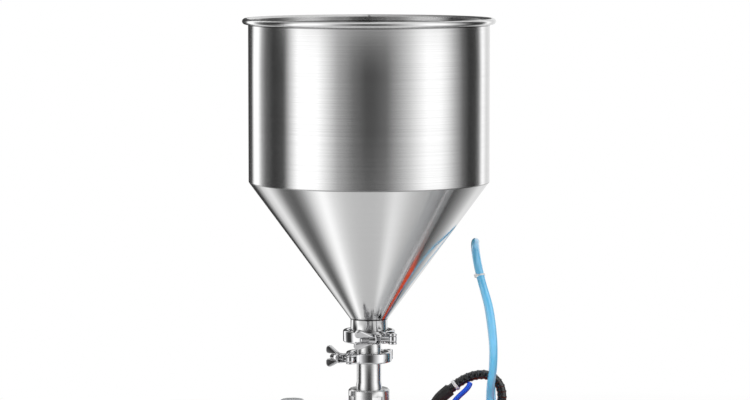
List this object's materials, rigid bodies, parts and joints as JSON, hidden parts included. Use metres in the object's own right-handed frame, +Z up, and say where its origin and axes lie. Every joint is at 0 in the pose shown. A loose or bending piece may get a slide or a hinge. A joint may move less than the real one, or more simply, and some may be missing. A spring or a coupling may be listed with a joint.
{
  "type": "piston liquid filler",
  "caption": "Bench piston filler: conical steel hopper on pipe clamps over a three-way plug valve, with a product cylinder driven by an air cylinder, a shut-off nozzle and a base on feet.",
  "frame": {"origin": "middle of the bounding box at the height of the feet's underside", "axes": "+X from the nozzle towards the handwheel along the pistons' line, +Y towards the back, +Z up; the controls face -Y"},
  "size_m": [1.0077, 0.3674, 0.8743],
  "materials": {
    "hopper_steel": "fine circumferential brushing, near mirror",
    "pipe_steel": "turned and polished stainless steel",
    "clamp_steel": "cast and tumbled stainless steel",
    "sheet_steel": "straight brushed sheet",
    "anodised": "clear anodised, satin",
    "red_paint": "orange red powder coat",
    "black_plastic": "fine moulded texture",
    "red_plastic": "moulded",
    "green_plastic": "moulded",
    "foot_rubber": "matt",
    "seal_white": "PTFE",
    "bowl_clear": "clear polycarbonate",
    "tube_light_blue": "translucent polyurethane",
    "tube_royal_blue": "polyurethane"
  },
  "bodies": {
    "machine": {"hopper": "hopper_steel", "upper_gasket": "seal_white", "lower_gasket": "seal_white", "spool": "pipe_steel", "inlet_pipe": "pipe_steel", "union_nut": "pipe_steel", "upper_clamp_bolt_half": "clamp_steel", "upper_clamp_slot_half": "clamp_steel", "lower_clamp_bolt_half": "clamp_steel", "lower_clamp_slot_half": "clamp_steel", "valve_body": "pipe_steel", "valve_cover": "pipe_steel", "actuator_housing": "anodised", "actuator_end_cap": "black_plastic", "product_cylinder": "pipe_steel", "product_cylinder_cap": "pipe_steel", "air_cylinder_front_head": "anodised", "air_cylinder_barrel": "anodised", "air_cylinder_rear_head": "anodised", "nozzle_pipe": "pipe_steel", "nozzle_body": "pipe_steel", "nozzle_air_cylinder": "anodised", "base_cabinet": "sheet_steel", "base_plate": "sheet_steel", "foot_1": "foot_rubber", "foot_2": "foot_rubber", "foot_3": "foot_rubber", "foot_4": "foot_rubber", "valve_bracket": "sheet_steel", "product_cylinder_bracket": "sheet_steel", "air_cylinder_bracket": "sheet_steel", "control_box": "red_paint", "regulator_body": "anodised", "regulator_bowl": "bowl_clear", "air_supply_tube": "tube_light_blue", "cable_sleeve": "black_plastic", "signal_tube": "tube_royal_blue", "sleeve_gland": "foot_rubber", "tube_fitting": "clamp_steel"},
    "valve_plug": {"valve_plug": "pipe_steel", "actuator_pinion": "clamp_steel"},
    "rack": {"actuator_rack": "clamp_steel"},
    "pistons": {"product_piston": "seal_white", "piston_seal": "foot_rubber", "piston_rod": "pipe_steel", "rod_coupling": "pipe_steel", "air_piston_rod": "pipe_steel"},
    "stop_rod": {"stop_rod": "clamp_steel"},
    "handwheel": {"handwheel": "black_plastic"},
    "needle": {"nozzle_needle": "pipe_steel", "needle_spring": "clamp_steel"},
    "upper_bolt": {"upper_clamp_swing_bolt": "clamp_steel"},
    "upper_nut": {"upper_clamp_wing_nut": "clamp_steel"},
    "lower_bolt": {"lower_clamp_swing_bolt": "clamp_steel"},
    "lower_nut": {"lower_clamp_wing_nut": "clamp_steel"},
    "start_button": {"start_button": "green_plastic"},
    "emergency_stop": {"emergency_stop": "red_plastic"},
    "selector_knob": {"selector_knob": "black_plastic"},
    "speed_knob": {"speed_knob": "black_plastic"},
    "regulator_knob": {"regulator_knob": "black_plastic"}
  },
  "joints": [
    {"name": "piston_stroke", "type": "slide", "parent": "machine", "child": "pistons", "axis": [1, 0, 0], "range_m": [0, 0.16]},
    {"name": "valve_turn", "type": "hinge", "parent": "machine", "child": "valve_plug", "pos_m": [-0.32015, 0, 0.268], "axis": [0, 1, 0], "range_deg": [0, 90]},
    {"name": "rack_slide", "type": "slide", "parent": "machine", "child": "rack", "axis": [1, 0, 0], "range_m": [-0.022, 0]},
    {"name": "handwheel_turn", "type": "hinge", "parent": "stop_rod", "child": "handwheel", "pos_m": [0.47585, 0, 0.268], "axis": [1, 0, 0], "range_deg": [0, 1800]},
    {"name": "stop_rod_feed", "type": "slide", "parent": "machine", "child": "stop_rod", "axis": [1, 0, 0], "range_m": [0, 0.0201]},
    {"name": "needle_lift", "type": "slide", "parent": "machine", "child": "needle", "axis": [0, 0, 1], "range_m": [0, 0.008], "stiffness_N_per_m": 2500, "springref_m": -0.006, "deforming": ["needle_spring"]},
    {"name": "upper_bolt_swing", "type": "hinge", "parent": "machine", "child": "upper_bolt", "pos_m": [-0.28592, -0.04078, 0.4116], "axis": [0, 0, 1], "range_deg": [0, 90]},
    {"name": "upper_nut_turn", "type": "hinge", "parent": "upper_bolt", "child": "upper_nut", "pos_m": [-0.31067, -0.04604, 0.4116], "axis": [-0.9781, -0.2079, 0], "continuous": true},
    {"name": "lower_bolt_swing", "type": "hinge", "parent": "machine", "child": "lower_bolt", "pos_m": [-0.34748, -0.03405, 0.3806], "axis": [0, 0, 1], "range_deg": [0, 90]},
    {"name": "lower_nut_turn", "type": "hinge", "parent": "lower_bolt", "child": "lower_nut", "pos_m": [-0.36121, -0.01647, 0.3806], "axis": [-0.6157, 0.788, 0], "continuous": true},
    {"name": "start_button_press", "type": "slide", "parent": "machine", "child": "start_button", "axis": [0, 1, 0], "range_m": [0, 0.004], "stiffness_N_per_m": 500, "springref_m": -0.002},
    {"name": "emergency_stop_press", "type": "slide", "parent": "machine", "child": "emergency_stop", "axis": [0, 1, 0], "range_m": [0, 0.005]},
    {"name": "selector_turn", "type": "hinge", "parent": "machine", "child": "selector_knob", "pos_m": [0.23985, -0.12, 0.105], "axis": [0, -1, 0], "range_deg": [-45, 45]},
    {"name": "speed_turn", "type": "hinge", "parent": "machine", "child": "speed_knob", "pos_m": [0.15985, -0.12, 0.105], "axis": [0, 1, 0], "range_deg": [0, 270]},
    {"name": "regulator_turn", "type": "hinge", "parent": "machine", "child": "regulator_knob", "pos_m": [-0.13915, 0.1383, 0.1463], "axis": [0, 0, 1], "range_deg": [0, 720]}
  ],
  "couplings": [
    {"joint": "rack_slide", "follows": "valve_turn", "m_per_rad": -0.014},
    {"joint": "stop_rod_feed", "follows": "handwheel_turn", "m_per_rad": 0.00063662}
  ]
}
